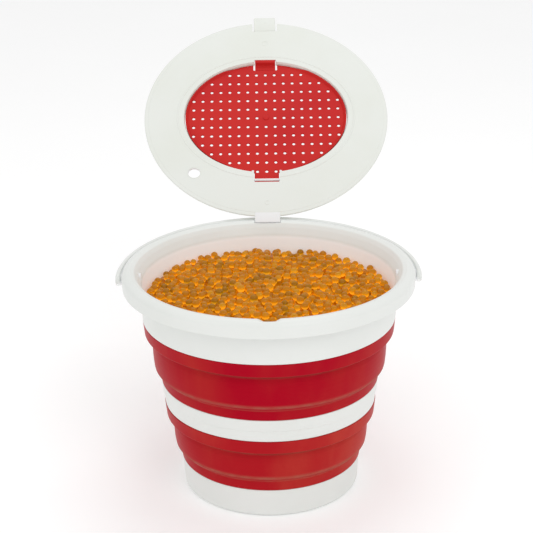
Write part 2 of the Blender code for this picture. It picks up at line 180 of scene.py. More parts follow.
class Board:
    """A node tree that is filled one node at a time."""

    def __init__(self, tree):
        self.tree = tree

    def join(self, value, socket):
        if isinstance(value, Wire):
            self.tree.links.new(value.socket, socket)
        else:
            socket.default_value = value

    def node(self, kind, settings=None, sockets=None, stops=None):
        made = self.tree.nodes.new(kind)
        for name, value in (settings or {}).items():
            setattr(made, name, value)
        for i, (place, colour) in enumerate(stops or []):
            stop = made.color_ramp.elements[i] if i < 2 else made.color_ramp.elements.new(place)
            stop.position, stop.color = place, colour
        for name, value in (sockets or {}).items():
            self.join(value, made.inputs[name])
        return Outlets(self, made)

    def math(self, operation, *values):
        return self.node("ShaderNodeMath", {"operation": operation}, dict(enumerate(values)))[0]

    def step(self, value, start, end):
        """0 where value is at start, 1 at end, and smooth between."""
        return self.node("ShaderNodeMapRange", {"interpolation_type": "SMOOTHSTEP"},
                         {"Value": value, "From Min": start, "From Max": end})["Result"]

    def random(self, seed, low=0.0, high=1.0):
        """A number of its own for each point."""
        return self.node("FunctionNodeRandomValue", {"data_type": "FLOAT"}, {
            "Min": low, "Max": high, "Seed": seed}).float_out()


def geometry_board(name, inputs):
    """The board of a new geometry tree with these (name, kind) inputs, and the wires they come in on."""
    tree = bpy.data.node_groups.new(name, "GeometryNodeTree")
    for label, kind in inputs:
        tree.interface.new_socket(label, in_out="INPUT", socket_type="NodeSocket" + kind)
    tree.interface.new_socket("Mesh", in_out="OUTPUT", socket_type="NodeSocketGeometry")
    board = Board(tree)
    return board, board.node("NodeGroupInput")


def hand_over(board, mesh, finish):
    """Ends a geometry tree: real geometry with its material."""
    mesh = board.node("GeometryNodeRealizeInstances", {}, {"Geometry": mesh})[0]
    mesh = board.node("GeometryNodeSetMaterial", {}, {"Geometry": mesh, "Material": finish})[0]
    board.node("NodeGroupOutput", {}, {"Mesh": mesh})
    return board.tree


# %% [markdown]
# ## Turned pieces
#
# Most of a bucket is turned: one profile goes round an axis. This tree lays out a grid with one row for
# each profile point and one column for each side, then bends the grid round. Its profile points may carry
# a stretch, which widens that ring along X, so the same tree makes the oval opening in the round lid.
# The tree also stores where each point was made, for finishes that have to stay put on a piece that bends.


# %% The turning tree
def turning_tree():
    board, given = geometry_board("turn_profile", (
        ("Profile", "Geometry"), ("Sides", "Int"), ("Finish", "Material")))
    rows = board.node("GeometryNodeAttributeDomainSize", {}, {0: given["Profile"]})["Point Count"]
    grid = board.node("GeometryNodeMeshGrid", {}, {
        "Vertices X": given["Sides"] + 1, "Vertices Y": rows})["Mesh"]
    index = board.node("GeometryNodeInputIndex")[0]
    column = board.math("FLOOR", (index + 0.5) / rows)
    row = index - column * rows

    def of_row(kind, value):
        return board.node("GeometryNodeSampleIndex", {"data_type": kind}, {
            "Geometry": given["Profile"], "Value": value, "Index": row})["Value"]

    place = of_row("FLOAT_VECTOR", board.node("GeometryNodeInputPosition")[0])
    stretch = of_row("FLOAT", board.node(
        "GeometryNodeInputNamedAttribute", {"data_type": "FLOAT"}, {"Name": "stretch"})["Attribute"])
    part = board.node("ShaderNodeSeparateXYZ", {}, {0: place})
    turn = column / given["Sides"] * math.tau
    bent = board.node("ShaderNodeCombineXYZ", {}, {
        "X": (part["X"] + stretch) * board.math("COSINE", turn),
        "Y": part["X"] * board.math("SINE", turn), "Z": part["Z"]})[0]
    mesh = board.node("GeometryNodeSetPosition", {}, {"Geometry": grid, "Position": bent})[0]
    mesh = board.node("GeometryNodeMergeByDistance", {}, {"Geometry": mesh, "Distance": weld})[0]
    mesh = board.node("GeometryNodeStoreNamedAttribute", {"data_type": "FLOAT_VECTOR"}, {
        "Geometry": mesh, "Name": "made_at", "Value": board.node("GeometryNodeInputPosition")[0]})[0]
    mesh = board.node("GeometryNodeSetShadeSmooth", {}, {"Geometry": mesh})[0]
    return hand_over(board, mesh, given["Finish"])


turning = turning_tree()
print("turning tree:", len(turning.nodes), "nodes")


# %% Running a tree, and keeping its result as a plain mesh
def grow(name, start, tree, **inputs):
    """Runs a geometry tree on a mesh, and returns an object with the finished mesh."""
    seed = bpy.data.objects.new(name + "_seed", start)
    scene.collection.objects.link(seed)
    modifier = seed.modifiers.new("tree", "NODES")
    modifier.node_group = tree
    for item in tree.interface.items_tree:
        if item.in_out == "INPUT" and item.name in inputs:
            modifier[item.identifier] = inputs[item.name]
    seed.update_tag()
    graph = bpy.context.evaluated_depsgraph_get()
    mesh = bpy.data.meshes.new_from_object(seed.evaluated_get(graph), preserve_all_data_layers=True,
                                           depsgraph=graph)
    bpy.data.objects.remove(seed)
    piece = bpy.data.objects.new(name, mesh)
    scene.collection.objects.link(piece)
    return piece


def outward(piece, sharp=32):
    """Turns every face outwards and keeps the edges that are really corners crisp."""
    bm = bmesh.new()
    bm.from_mesh(piece.data)
    bmesh.ops.remove_doubles(bm, verts=bm.verts, dist=weld)
    bmesh.ops.recalc_face_normals(bm, faces=bm.faces)
    bm.to_mesh(piece.data)
    bm.free()
    piece.data.shade_smooth()
    piece.data.set_sharp_from_angle(angle=math.radians(sharp))
    return piece


# %% Profiles with rounded corners
def rounded(points, closed=True, steps=5):
    """A profile of (radius, height, rounding) points, with each corner rounded off."""
    made = []
    for i, (x, z, size) in enumerate(points):
        here = Vector((x, z))
        if not size or not closed and i in (0, len(points) - 1):
            made.append(here)
            continue
        back = (Vector(points[i - 1][:2]) - here).normalized()
        ahead = (Vector(points[(i + 1) % len(points)][:2]) - here).normalized()
        half = back.angle(ahead) / 2
        centre = here + (back + ahead).normalized() * size / math.sin(half)
        start, end = (here + way * size / math.tan(half) - centre for way in (back, ahead))
        turn = math.atan2(start.x * end.y - start.y * end.x, start.dot(end))
        made += [centre + Matrix.Rotation(turn * k / steps, 2) @ start for k in range(steps + 1)]
    return made


def spaced(profile, closed=True, longest=4 * mm, edge=0.25 * mm):
    """Adds points along the straights, so that smooth shading stays flat and long runs can bend."""
    made = []
    ends = profile[1:] + profile[:1] if closed else profile[1:]
    for here, there in zip(profile, ends):
        made.append(here)
        length = (there - here).length
        if length > 4 * edge:
            shares = [edge / length] + [k / math.ceil(length / longest)
                                        for k in range(1, math.ceil(length / longest))]
            made += [here.lerp(there, share) for share in shares + [1 - edge / length]]
    made.append(profile[0] if closed else profile[-1])
    return made


def turned(name, profile, finish, sides=192, stretch=None):
    """A finished turned piece. stretch gives, for a ring's radius, how much wider it is along X."""
    mesh = bpy.data.meshes.new(name)
    mesh.from_pydata([(point.x, 0, point.y) for point in profile], [], [])
    if stretch:
        wider = mesh.attributes.new("stretch", "FLOAT", "POINT")
        wider.data.foreach_set("value", [stretch(point.x) for point in profile])
    piece = grow(name, mesh, turning, Sides=sides, Finish=finish)
    return outward(piece)


# %% [markdown]
# ## Cutting and joining
#
# Slots, tabs and bosses that break a turned shape are cut or joined with Boolean modifiers. The tools are
# blocks and rods with their edges eased, because moulded plastic has no knife edges.


# %% Blocks, rods, and carving with them
def solid(name, bm, finish=None):
    mesh = bpy.data.meshes.new(name)
    bmesh.ops.recalc_face_normals(bm, faces=bm.faces)
    bm.to_mesh(mesh)
    bm.free()
    piece = bpy.data.objects.new(name, mesh)
    scene.collection.objects.link(piece)
    if finish:
        mesh.materials.append(finish)
    return piece


def ease_edges(bm, ease):
    """Softens every edge that is sharper than 40 degrees, unless ease is 0."""
    if not ease:
        return
    crisp = [edge for edge in bm.edges if edge.calc_face_angle() > math.radians(40)]
    bmesh.ops.bevel(bm, geom=crisp, offset=ease, segments=3, profile=0.5, affect="EDGES")


def block(name, low, high, ease=0.0, corners=0.0, finish=None):
    """A box from low to high. corners rounds its upright edges, and ease softens all the others."""
    low, high = Vector(low), Vector(high)
    bm = bmesh.new()
    bmesh.ops.create_cube(bm, size=1)
    bm.transform(Matrix.Translation((low + high) / 2) @ Matrix.Diagonal((*(high - low), 1)))
    if corners:
        upright = [edge for edge in bm.edges
                   if abs(edge.verts[0].co.z - edge.verts[1].co.z) > (high.z - low.z) / 2]
        bmesh.ops.bevel(bm, geom=upright, offset=corners, segments=6, profile=0.5, affect="EDGES")
    ease_edges(bm, ease)
    return solid(name, bm, finish)


def rod(name, start, end, radius, sides=40, ease=0.0):
    """A round bar from start to end. ease softens the edges of its ends."""
    start, end = Vector(start), Vector(end)
    turn = (end - start).to_track_quat("Z", "Y").to_matrix().to_4x4()
    bm = bmesh.new()
    bmesh.ops.create_cone(bm, cap_ends=True, segments=sides, radius1=radius, radius2=radius,
                          depth=(end - start).length, matrix=Matrix.Translation((start + end) / 2) @ turn)
    ease_edges(bm, ease)
    return solid(name, bm)


def carve(piece, joined=(), cut=()):
    """Joins and cuts with tool objects, bakes the result into the piece's mesh and drops the tools."""
    for operation, tools in (("UNION", joined), ("DIFFERENCE", cut)):
        for tool in tools:
            step = piece.modifiers.new(tool.name, "BOOLEAN")
            step.operation, step.solver, step.object = operation, "EXACT", tool
    bpy.context.view_layer.update()
    graph = bpy.context.evaluated_depsgraph_get()
    piece.data = bpy.data.meshes.new_from_object(piece.evaluated_get(graph), depsgraph=graph)
    piece.modifiers.clear()
    for tool in (*joined, *cut):
        bpy.data.objects.remove(tool)
    outward(piece)


# %% [markdown]
# ## Plastic finishes
#
# Moulded plastic isn't one flat colour: it clouds slightly where it cooled, carries a fine grain, and its
# gloss varies in patches where hands have been. One function makes all the rigid plastics, with their own
# colours. The textures read Object coordinates, so every piece's pattern is at its true size. Faces that
# look in at the bucket's axis can take a painted glow: a weak emission that stands in for light coming
# through the wall.


# %% Rigid plastics
def principled(name):
    """A new material, its board, and its shader's sockets."""
    material = bpy.data.materials.new(name)
    material.use_nodes = True
    shader = material.node_tree.nodes["Principled BSDF"]
    return material, Board(material.node_tree), shader.inputs


def blended(board, factor, first, second):
    """One colour over another by a factor."""
    mix = board.node("ShaderNodeMix", {"data_type": "RGBA"})
    board.join(factor, mix.node.inputs["Factor"])
    for socket, value in zip([s for s in mix.node.inputs if s.type == "RGBA"], (first, second)):
        board.join(value, socket)
    return Wire(board, [s for s in mix.node.outputs if s.type == "RGBA"][0])


def noise(board, where, scale, detail=3.0):
    return board.node("ShaderNodeTexNoise", {}, {
        "Vector": where, "Scale": scale, "Detail": detail})["Fac"]


def moulded(name, colour, clouded, gloss=0.36, grain=0.03, shine=0.35, painted_inner_glow=False):
    """A rigid plastic. grain is the depth of its texture in mm. It can take a painted glow on faces that
    look in at the axis.
    """
    material, board, shader = principled(name)
    where = board.node("ShaderNodeTexCoord")["Object"]
    cloud = board.step(noise(board, where, 14), 0.35, 0.7)
    speck = board.step(noise(board, where, 420, 2.0), 0.62, 0.8)
    board.join(blended(board, cloud * 0.8 + speck * 0.2, colour, clouded), shader["Base Color"])
    patch = noise(board, where, 45, 4.0)
    board.join(patch * 0.16 + gloss - 0.08, shader["Roughness"])
    orange_peel = noise(board, where, 900, 2.0) + noise(board, where, 130, 1.0) * 2.0
    bump = board.node("ShaderNodeBump", {}, {
        "Strength": 0.5, "Distance": grain * mm, "Height": orange_peel})["Normal"]
    board.join(bump, shader["Normal"])
    shader["Specular IOR Level"].default_value = shine
    # Painted glow: faces that look in at the bucket's axis emit a faint bluish white, standing in for light
    # that comes through the wall.
    if painted_inner_glow:
        outwards = board.node("ShaderNodeVectorMath", {"operation": "DOT_PRODUCT"}, {
            0: where, 1: board.node("ShaderNodeNewGeometry")["Normal"]})["Value"]
        inner_glow_mask = board.step(outwards * -1, 0.03, 0.10)
        board.join(blended(board, inner_glow_mask, (0, 0, 0, 1), (0.90, 0.92, 1.0, 1)), shader["Emission Color"])
        shader["Emission Strength"].default_value = 0.2
    return material


# The white plastic takes the painted glow on faces that look in at the axis.
white_plastic = moulded("white_plastic", (0.76, 0.775, 0.75, 1), (0.73, 0.75, 0.72, 1),
                        painted_inner_glow=True)
lid_plastic = moulded("lid_plastic", (0.745, 0.765, 0.725, 1), (0.72, 0.74, 0.685, 1), gloss=0.45)
red_plastic = moulded("red_plastic", (0.56, 0.022, 0.018, 1), (0.50, 0.014, 0.016, 1), gloss=0.48,
                      grain=0.05, shine=0.12)
print("rigid plastics:", white_plastic.name, lid_plastic.name, red_plastic.name)

# %% [markdown]
# ## Soft red bands
#
# The two bands are soft rubber, and they let the bucket fold flat. Each has an upright land at its top, an
# undercut ledge, a panel that bows out a little, a shoulder with two fine moulded lines, and a land at its
# foot. Where they stand proud the finish gets a paler, browner tone: partly dust that they take up there,
# and partly a painted highlight for the light that the crests catch. The finish reads the place where each
# point was made, so it doesn't slide when the band folds.


# %% Rubber finish
def rubber(name, deep, bright, dust_and_highlight_tone, edges):
    """Red rubber. edges are the heights of the creases that stand proud, where it gets a paler tone of dust
    and painted highlight.
    """
    material, board, shader = principled(name)
    where = board.node("ShaderNodeAttribute", {"attribute_name": "made_at"})["Vector"]
    height = board.node("ShaderNodeSeparateXYZ", {}, {0: where})["Z"]
    drawn = board.node("ShaderNodeVectorMath", {"operation": "MULTIPLY"}, {0: where, 1: (1, 1, 0.45)})[0]
    streak = board.step(noise(board, drawn, 16, 5.0), 0.42, 0.78)
    scuff = board.step(noise(board, where, 90, 6.0), 0.35, 0.7)
    # Near each proud crease the colour moves to a paler, browner tone: partly dust, partly a painted
    # highlight on the crest.
    dust_and_highlight = None
    for place, reach, amount in edges:
        near = 1 - board.step(board.math("ABSOLUTE", height - place), 0.0, reach)
        dust_and_highlight = near * amount if dust_and_highlight is None else board.math("MAXIMUM", dust_and_highlight, near * amount)
    tone = blended(board, streak, deep, bright)
    board.join(blended(board, dust_and_highlight * (scuff * 0.4 + 0.6), tone, dust_and_highlight_tone), shader["Base Color"])
    board.join(dust_and_highlight * 0.15 + streak * 0.1 + 0.34, shader["Roughness"])
    board.join(board.node("ShaderNodeBump", {}, {
        "Strength": 0.45, "Distance": 0.06 * mm,
        "Height": noise(board, drawn, 60, 3.0) + noise(board, where, 700, 2.0) * 0.5})["Normal"],
        shader["Normal"])
    shader["Specular IOR Level"].default_value = 0.05
    return material


# %% Shape of a band
land_top, land_foot, ledge, shoulder = 12.7 * mm, 10.5 * mm, 4.0 * mm, 4.7 * mm
band_wall, land_draft, panel_draft, panel_bow = 2 * mm, 1.3 * mm, 0.6 * mm, 0.9 * mm
undercut = 2.2 * mm  # how far the ledge runs in behind the panel's face


def band_profile(foot, foot_radius, top, top_radius):
    """Section of a band, down its outer face and up its inner one, as (radius, height, rounding)."""
    land_radius, foot_land_radius = top_radius - land_draft, foot_radius + land_draft
    panel_radius = land_radius - (land_radius - foot_land_radius - panel_draft) * 0.6
    panel_top, panel_foot = top - land_top - ledge, foot + land_foot + shoulder
    outer = [(top_radius, top, 0.3 * mm), (land_radius, top - land_top, 1.0 * mm),
             (panel_radius - undercut, top - land_top - 0.8 * mm, 0.6 * mm),
             (panel_radius - 0.3 * mm, panel_top - 0.6 * mm, 3.2 * mm)]
    for share in (0.2, 0.35, 0.5, 0.65, 0.8):
        bow = panel_bow * math.sin(math.pi * share)
        outer.append((panel_radius - panel_draft * share + bow,
                      panel_top + (panel_foot - panel_top) * share, 3.0 * mm))
    outer += [(panel_radius - panel_draft, panel_foot, 1.6 * mm),
              (foot_land_radius, foot + land_foot, 1.0 * mm), (foot_radius, foot, 0.3 * mm)]
    inner = [(foot_radius, foot, 0.3 * mm), (foot_land_radius, foot + land_foot + 0.8 * mm, 1.4 * mm),
             (panel_radius - 1.0 * mm, panel_foot + 1.6 * mm, 1.4 * mm),
             (panel_radius - undercut, panel_top, 1.4 * mm),
             (panel_radius - undercut, top - land_top + 1.4 * mm, 1.0 * mm),
             (land_radius, top - land_top + 1.9 * mm, 1.0 * mm), (top_radius, top, 0.3 * mm)]
    return outer + [(x - band_wall, z, size) for x, z, size in inner]


def fold_band(name, node, foot_radius, finish):
    """Turns a band, presses two fine lines into its shoulder and puts it in place of its frame solid."""
    low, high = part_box(node)
    profile = spaced(rounded(band_profile(low.z, foot_radius, high.z, high.x), steps=4),
                     longest=1.6 * mm)
    line_at, line_half, line_depth = low.z + land_foot + shoulder, 0.5 * mm, 0.28 * mm
    for point in profile:
        for rise in (0.4 * mm, 2.4 * mm):
            near = abs(point.y - (line_at + rise)) / line_half
            if near < 1:
                point.x -= line_depth * (1 - near * near)
    piece = turned(name, profile, finish, sides=224)
    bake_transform(piece)
    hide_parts(node)
    print(name, len(profile), "rings,", len(piece.data.polygons), "faces")


def proud_creases(low, high):
    """The heights at which a band gets its paler tone of dust and painted highlight, how far it reaches and
    how much there is.
    """
    return [(high.z - land_top - 2.6 * mm, 3.2 * mm, 0.95), (low.z + land_foot + shoulder, 3.6 * mm, 0.8),
            (low.z + land_foot, 1.4 * mm, 0.5), (high.z - land_top, 1.0 * mm, 0.3),
            (low.z, 0.8 * mm, 0.3)]


# The third colour of each rubber is the paler tone of dust and painted highlight on its proud creases.
upper_rubber = rubber("upper_red_rubber", (0.385, 0.0, 0.012, 1), (0.43, 0.022, 0.018, 1),
                      (0.36, 0.105, 0.072, 1), proud_creases(upper_low, upper_high))
lower_rubber = rubber("lower_red_rubber", (0.41, 0.008, 0.014, 1), (0.47, 0.042, 0.028, 1),
                      (0.37, 0.115, 0.075, 1), proud_creases(lower_low, lower_high))
fold_band("upper_soft_band", "upper_fold_band", ring_top_radius, upper_rubber)
fold_band("lower_soft_band", "lower_fold_band", cup_radius, lower_rubber)

# %% [markdown]
# ## Rigid rings of the wall
#
# The cup at the bottom and the ring between the bands are hard white plastic. Each is one turned profile
# with its wall, so a profile is all that has to be drawn. The cup stands on a narrow foot with its middle
# set up, and the ring has a fine step half way up.


# %% Cup and ring
def fit(piece, body, node):
    """Makes a finished piece ride on its body, in place of its frame solid."""
    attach(piece, body)
    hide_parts(node)
    print(f"{piece.name}: {len(piece.data.polygons)} faces on {body}")


foot_radius = cup_radius - 2.3 * mm
floor_top, floor_under = 3 * mm, 0.9 * mm
cup_profile = rounded([
    (0, floor_top, 0), (foot_radius - 6 * mm, floor_top, 2.5 * mm),
    (foot_radius - 2.4 * mm, 7 * mm, 3 * mm),
    (cup_radius - wall, cup_high.z, 0.4 * mm), (cup_radius, cup_high.z, 0.5 * mm),
    (cup_radius - 0.3 * mm, cup_high.z - 2.2 * mm, 0.4 * mm),
    (cup_radius - 0.6 * mm, cup_high.z - 2.6 * mm, 0.4 * mm),
    (foot_radius, 0.2 * mm, 3.6 * mm), (foot_radius - 4 * mm, 0, 0.6 * mm),
    (foot_radius - 7.5 * mm, 0, 0.6 * mm), (foot_radius - 9 * mm, floor_under, 0.6 * mm),
    (0, floor_under, 0)], closed=False)
cup = turned("cup_shell", spaced(cup_profile, closed=False), white_plastic)
fit(cup, "base", "base_cup")

ring_half = (ring_low.z + ring_high.z) / 2
ring_step = 0.6 * mm
half_radius = (ring_foot_radius + ring_top_radius) / 2
ring_profile = rounded([
    (ring_top_radius, ring_high.z, 0.6 * mm), (half_radius, ring_half, 0.3 * mm),
    (half_radius - ring_step, ring_half - 0.5 * mm, 0.3 * mm),
    (ring_foot_radius - 0.5 * mm, ring_low.z, 0.6 * mm),
    (ring_foot_radius - wall, ring_low.z, 0.4 * mm), (ring_top_radius - wall, ring_high.z, 0.4 * mm)])
ring = turned("ring_shell", spaced(ring_profile), white_plastic)
fit(ring, "middle", "middle_ring")

# %% [markdown]
# ## Neck and rim
#
# The rim is one hollow roll: the neck flares into a mouth, goes over a crest and comes down as a skirt. It
# is turned too, then gets what breaks the circle: a thumb notch pressed into the lip, a pocket for the
# lid's tab, and two bosses for the handle's pegs. The notch is soft, so its points are pushed down; the
# rest has crisp walls, so it is carved.


# %% Rim profile
rim_radius = -rim_low.y
mouth = rim_radius - 13.3 * mm
neck_radius, crest_radius = mouth - 3.2 * mm, mouth + 5.5 * mm
rim_thickness, skirt_wall, skirt_foot = 4.2 * mm, 1.8 * mm, crest - 16 * mm
roll = rim_radius - crest_radius


def roll_at(degrees):
    """A point on the roll of the rim, from its crest at 0 to its outer side at 90."""
    angle = math.radians(degrees)
    return (crest_radius + roll * math.sin(angle), crest - roll * 0.75 * (1 - math.cos(angle)), 0)


rim_profile = rounded(
    [roll_at(9 * step) for step in range(11)]
    + [(rim_radius, skirt_foot, 0.7 * mm), (rim_radius - skirt_wall, skirt_foot, 0.6 * mm),
       (rim_radius - skirt_wall, crest - rim_thickness - roll * 0.4, 2 * mm),
       (crest_radius + roll * 0.35, crest - rim_thickness, 2 * mm),
       (neck_radius, crest - 2 * rim_thickness, 3 * mm), (neck_foot_radius, rim_low.z, 0.6 * mm),
       (neck_foot_radius - wall, rim_low.z, 0.4 * mm),
       (neck_radius - wall, crest - 3 * rim_thickness, 12 * mm),
       (mouth - 1.4 * mm, crest - 1.2 * rim_thickness, 4 * mm),
       (mouth + 1.5 * mm, crest - wall / 2, 3 * mm)])
rim = turned("rim_shell", spaced(rim_profile, longest=3 * mm), white_plastic, sides=320)


# %% Thumb notch
def smooth(value, start, end):
    """0 up to start, 1 from end on, and smooth between."""
    share = min(max((value - start) / (end - start), 0), 1)
    return share * share * (3 - 2 * share)


def press_notch(piece, half_width=10.5 * mm, half_flat=4.5 * mm, depth=2.7 * mm):
    """Pushes the front of the lip down into a soft trough."""
    pressed = 0
    for vertex in piece.data.vertices:
        x, y, z = vertex.co
        radius = math.hypot(x, y)
        if y < 0 and abs(x) < half_width and z > crest - 3.2 * rim_thickness:
            across = 1 - smooth(abs(x), half_flat, half_width)
            outwards = 1 - smooth(radius, crest_radius - 0.5 * mm, crest_radius + 5 * mm)
            downwards = smooth(z, crest - 3 * rim_thickness, crest - rim_thickness)
            vertex.co.z -= depth * across * outwards * downwards
            pressed += 1
    print("notch:", pressed, "points moved")


press_notch(rim)


# %% Pocket for the lid's tab, and bosses for the handle's pegs
def peg_rods(name, start, end, radius):
    """A rod at each side on the line that the handle swings about, from start to end off the middle."""
    return [rod(name, (side * start, 0, peg_line.z), (side * end, 0, peg_line.z), radius)
            for side in (-1, 1)]


tab_width, lid_thickness = 26 * mm, 2.4 * mm
tab_past_hinge, peg_radius, peg_length = 5.5 * mm, 2.7 * mm, 7 * mm
swing = math.hypot(tab_past_hinge, lid_thickness / 2) + clearance
pocket_half = tab_width / 2 + clearance
strap_inner = rim_radius + 1.7 * mm
pocket_block = block("pocket_block", (-pocket_half - wall / 2, mouth + 1.2 * mm, hinge.z - swing - wall),
                     (pocket_half + wall / 2, rim_radius - skirt_wall / 2, crest - wall))
bosses = peg_rods("boss", neck_radius - wall / 2, rim_radius + 0.85 * mm, 5.6 * mm)
pocket = block("pocket", (-pocket_half, hinge.y - swing, hinge.z - swing),
               (pocket_half, rim_radius + beyond, crest + beyond))
bores = peg_rods("bore", strap_inner - peg_length - clearance, rim_radius + beyond, 3 * mm)
carve(rim, joined=[pocket_block, *bosses], cut=[pocket, *bores])
fit(rim, "rim", "rim_ring")

# %% [markdown]
# ## Handle
#
# The handle is half a hoop of flat strap that lies back against the rim. A strap is one section swept
# along a path, so its mesh is laid section by section. Near each peg the section's height follows a
# circle, which makes the round end, and the section's corners are eased all the way. The hoop is a little
# deeper than half round, and its back stays below the lid's hinge line.


# %% Sweeping the strap
def strap_section(half_height, thickness=4.6 * mm, ease=2 * mm, steps=4):
    """(across, up) points of a rounded oblong."""
    size = min(ease, half_height * 0.98)
    points = []
    for across, up, start in ((1, 1, 0), (-1, 1, 90), (-1, -1, 180), (1, -1, 270)):
        for step in range(steps + 1):
            angle = math.radians(start + 90 * step / steps)
            points.append((across * (thickness / 2 - size) + size * math.cos(angle),
                           up * (half_height - size) + size * math.sin(angle)))
    return points


def carry_strap(finish, end_radius=6.2 * mm, half_height=5.8 * mm, deeper=4 * mm,
                below_hinge=9.2 * mm, bow_steps=150):
    centre = (strap_inner + strap_high.x) / 2
    bow = 1 + deeper / strap_high.x
    ends = [-end_radius * math.cos(math.radians(90 * step / 10)) for step in range(10)]
    runs = ends + [math.pi * centre * step / bow_steps for step in range(bow_steps + 1)]
    runs += [math.pi * centre - run for run in reversed(ends)]
    bm = bmesh.new()
    rings = []
    for run in runs:
        past = -min(run, math.pi * centre - run)
        round_end = math.sqrt(max(end_radius ** 2 - past ** 2, 0.0))
        half = round_end if past > 0 else max(half_height, round_end)
        angle = min(max(run / centre, 0), math.pi)
        out = Vector((math.cos(angle), math.sin(angle), 0))
        back = Vector((0, -max(past, 0), 0))
        ring = []
        for across, up in strap_section(max(half, 0.35 * mm)):
            point = out * (centre + across) + back + Vector((0, 0, up))
            point.y *= bow if point.y > 0 else 1
            ring.append(bm.verts.new(point))
        rings.append(ring)
    for first, second in zip(rings, rings[1:]):
        for i in range(len(first)):
            k = (i + 1) % len(first)
            bm.faces.new((first[i], first[k], second[k], second[i]))
    bm.faces.new(rings[0])
    bm.faces.new(reversed(rings[-1]))
    for vertex in bm.verts:
        vertex.co.z += peg_line.z
    tilt = math.asin((hinge.z - below_hinge - peg_line.z) / (centre * bow))
    piece = solid("carry_strap", bm, finish)
    carve(piece, joined=peg_rods("peg", strap_inner - peg_length, centre, peg_radius),
          cut=peg_rods("dimple", strap_high.x - 0.35 * mm, strap_high.x + 2 * mm, 2.6 * mm))
    piece.data.transform(Matrix.Translation(peg_line) @ Matrix.Rotation(tilt, 4, "X")
                         @ Matrix.Translation(-peg_line))
    print(f"strap leans back {math.degrees(tilt):.1f} degrees")
    return piece


strap = carry_strap(white_plastic)
fit(strap, "handle", "handle")

# %% [markdown]
# ## Lid
#
# The lid is a flat disc with an oval opening for the strainer. It is drawn closed, where its faces are
# level and its measures are plain, then swung open about its hinge like the frame's. Its turned profile
# goes round the section of the plate and up the collar; rings near the opening are stretched along X until
# they are oval, and the stretch fades out towards the round edge.

# %% Lid measures, with the lid closed
lid_face = hinge.z - lid_thickness / 2
half_width, half_depth = 87 * mm, 73.8 * mm
hatch_sink, hatch_thickness = 4 * mm, 2 * mm
hatch_face = lid_face + hatch_sink
hatch_back = hatch_face + hatch_thickness
tongue_width, snap_width = 25.6 * mm, 22 * mm
bar_reach, bar_rise, bar_radius = 9.4 * mm, 2.2 * mm, 1.35 * mm
bar = Vector((0, half_depth + bar_reach, lid_face + bar_rise))
hook_outer = hatch_back - bar.z - 0.3 * mm
latch_line = 12 * mm - lid_radius
hatch_a, hatch_b = half_width - clearance, half_depth - clearance
snap_root = 8 * mm - hatch_b
swing_open = (Matrix.Translation(hinge) @ Matrix.Rotation(-lid_angle, 4, "X")
              @ Matrix.Translation(-hinge))


def opened(piece):
    """Swings a piece that was drawn closed, with its place kept in its mesh."""
    piece.data.transform(swing_open)
    return piece


# %% Lid plate
def oval_share(radius):
    """How much wider than deep a ring of the lid is."""
    return (half_width - half_depth) * (1 - smooth(radius, half_depth + 10 * mm, lid_radius - 2 * mm))


bead_rise, edge_step = 0.45 * mm, 0.25 * mm
lid_profile = rounded([
    (half_depth, hatch_back, 0.5 * mm), (half_depth, lid_face + 2.2 * mm, 0.8 * mm),
    (half_depth + 1.1 * mm, lid_face, 0.5 * mm), (half_depth + 6.6 * mm, lid_face, 0.3 * mm),
    (half_depth + 7.1 * mm, lid_face - bead_rise, 0.3 * mm),
    (half_depth + 8.1 * mm, lid_face - bead_rise, 0.3 * mm),
    (half_depth + 8.7 * mm, lid_face, 0.3 * mm),
    (lid_radius - 4.6 * mm, lid_face, 0.5 * mm), (lid_radius - 4.0 * mm, lid_face + edge_step, 0.5 * mm),
    (lid_radius, lid_face + edge_step, 1.0 * mm), (lid_radius, lid_face + lid_thickness, 0.9 * mm),
    (half_depth + 3 * mm, lid_face + lid_thickness, 0.6 * mm),
    (half_depth + 3 * mm, hatch_back, 0.5 * mm)])
lid = turned("lid_plate", spaced(lid_profile, longest=6 * mm), lid_plastic, sides=240,
             stretch=oval_share)


# %% Tab, tongue surround, bar, slots, vent and moulding marks
def along_bar(name, half_length, radius, sides=40):
    """A rod on the line of the bar that the hatch hooks on."""
    return rod(name, (-half_length, bar.y, bar.z), (half_length, bar.y, bar.z), radius, sides=sides)


lug_half = tongue_width / 2 + 3 * mm
lid_tools = [
    block("lid_tab", (-tab_width / 2, lid_radius - 5 * mm, lid_face),
          (tab_width / 2, hinge.y + tab_past_hinge, lid_face + lid_thickness), ease=0.8 * mm),
    block("tongue_surround", (-lug_half, half_depth - wall, lid_face + lid_thickness / 2),
          (lug_half, half_depth + bar_reach + hook_outer + 3.6 * mm, hatch_back), ease=0.5 * mm)]
latch_width, latch_slot = 24 * mm, 1.6 * mm
latch_half = latch_width / 2 + latch_slot
vent = Vector((-76 * mm, 74.5 * mm, lid_face))
lid_cuts = [
    block("tongue_way", (-tongue_width / 2 - clearance, 0, lid_face - beyond),
          (tongue_width / 2 + clearance, bar.y + hook_outer + 0.6 * mm, hatch_back + beyond)),
    block("snap_way", (-snap_width / 2 - clearance, -hatch_b - 3.6 * mm, lid_face - beyond),
          (snap_width / 2 + clearance, 0, hatch_back + beyond)),
    block("latch_way", (-latch_half, -lid_radius - beyond, lid_face - beyond),
          (latch_half, latch_line, hatch_back + beyond), corners=0.9 * mm),
    rod("vent", vent - Vector((0, 0, beyond)), vent + Vector((0, 0, beyond)), 6.2 * mm)]
carve(lid, joined=lid_tools, cut=lid_cuts)
bar_end = tongue_width / 2 + clearance + wall / 2
carve(lid, joined=[along_bar("hatch_bar", bar_end, bar_radius, sides=24)])


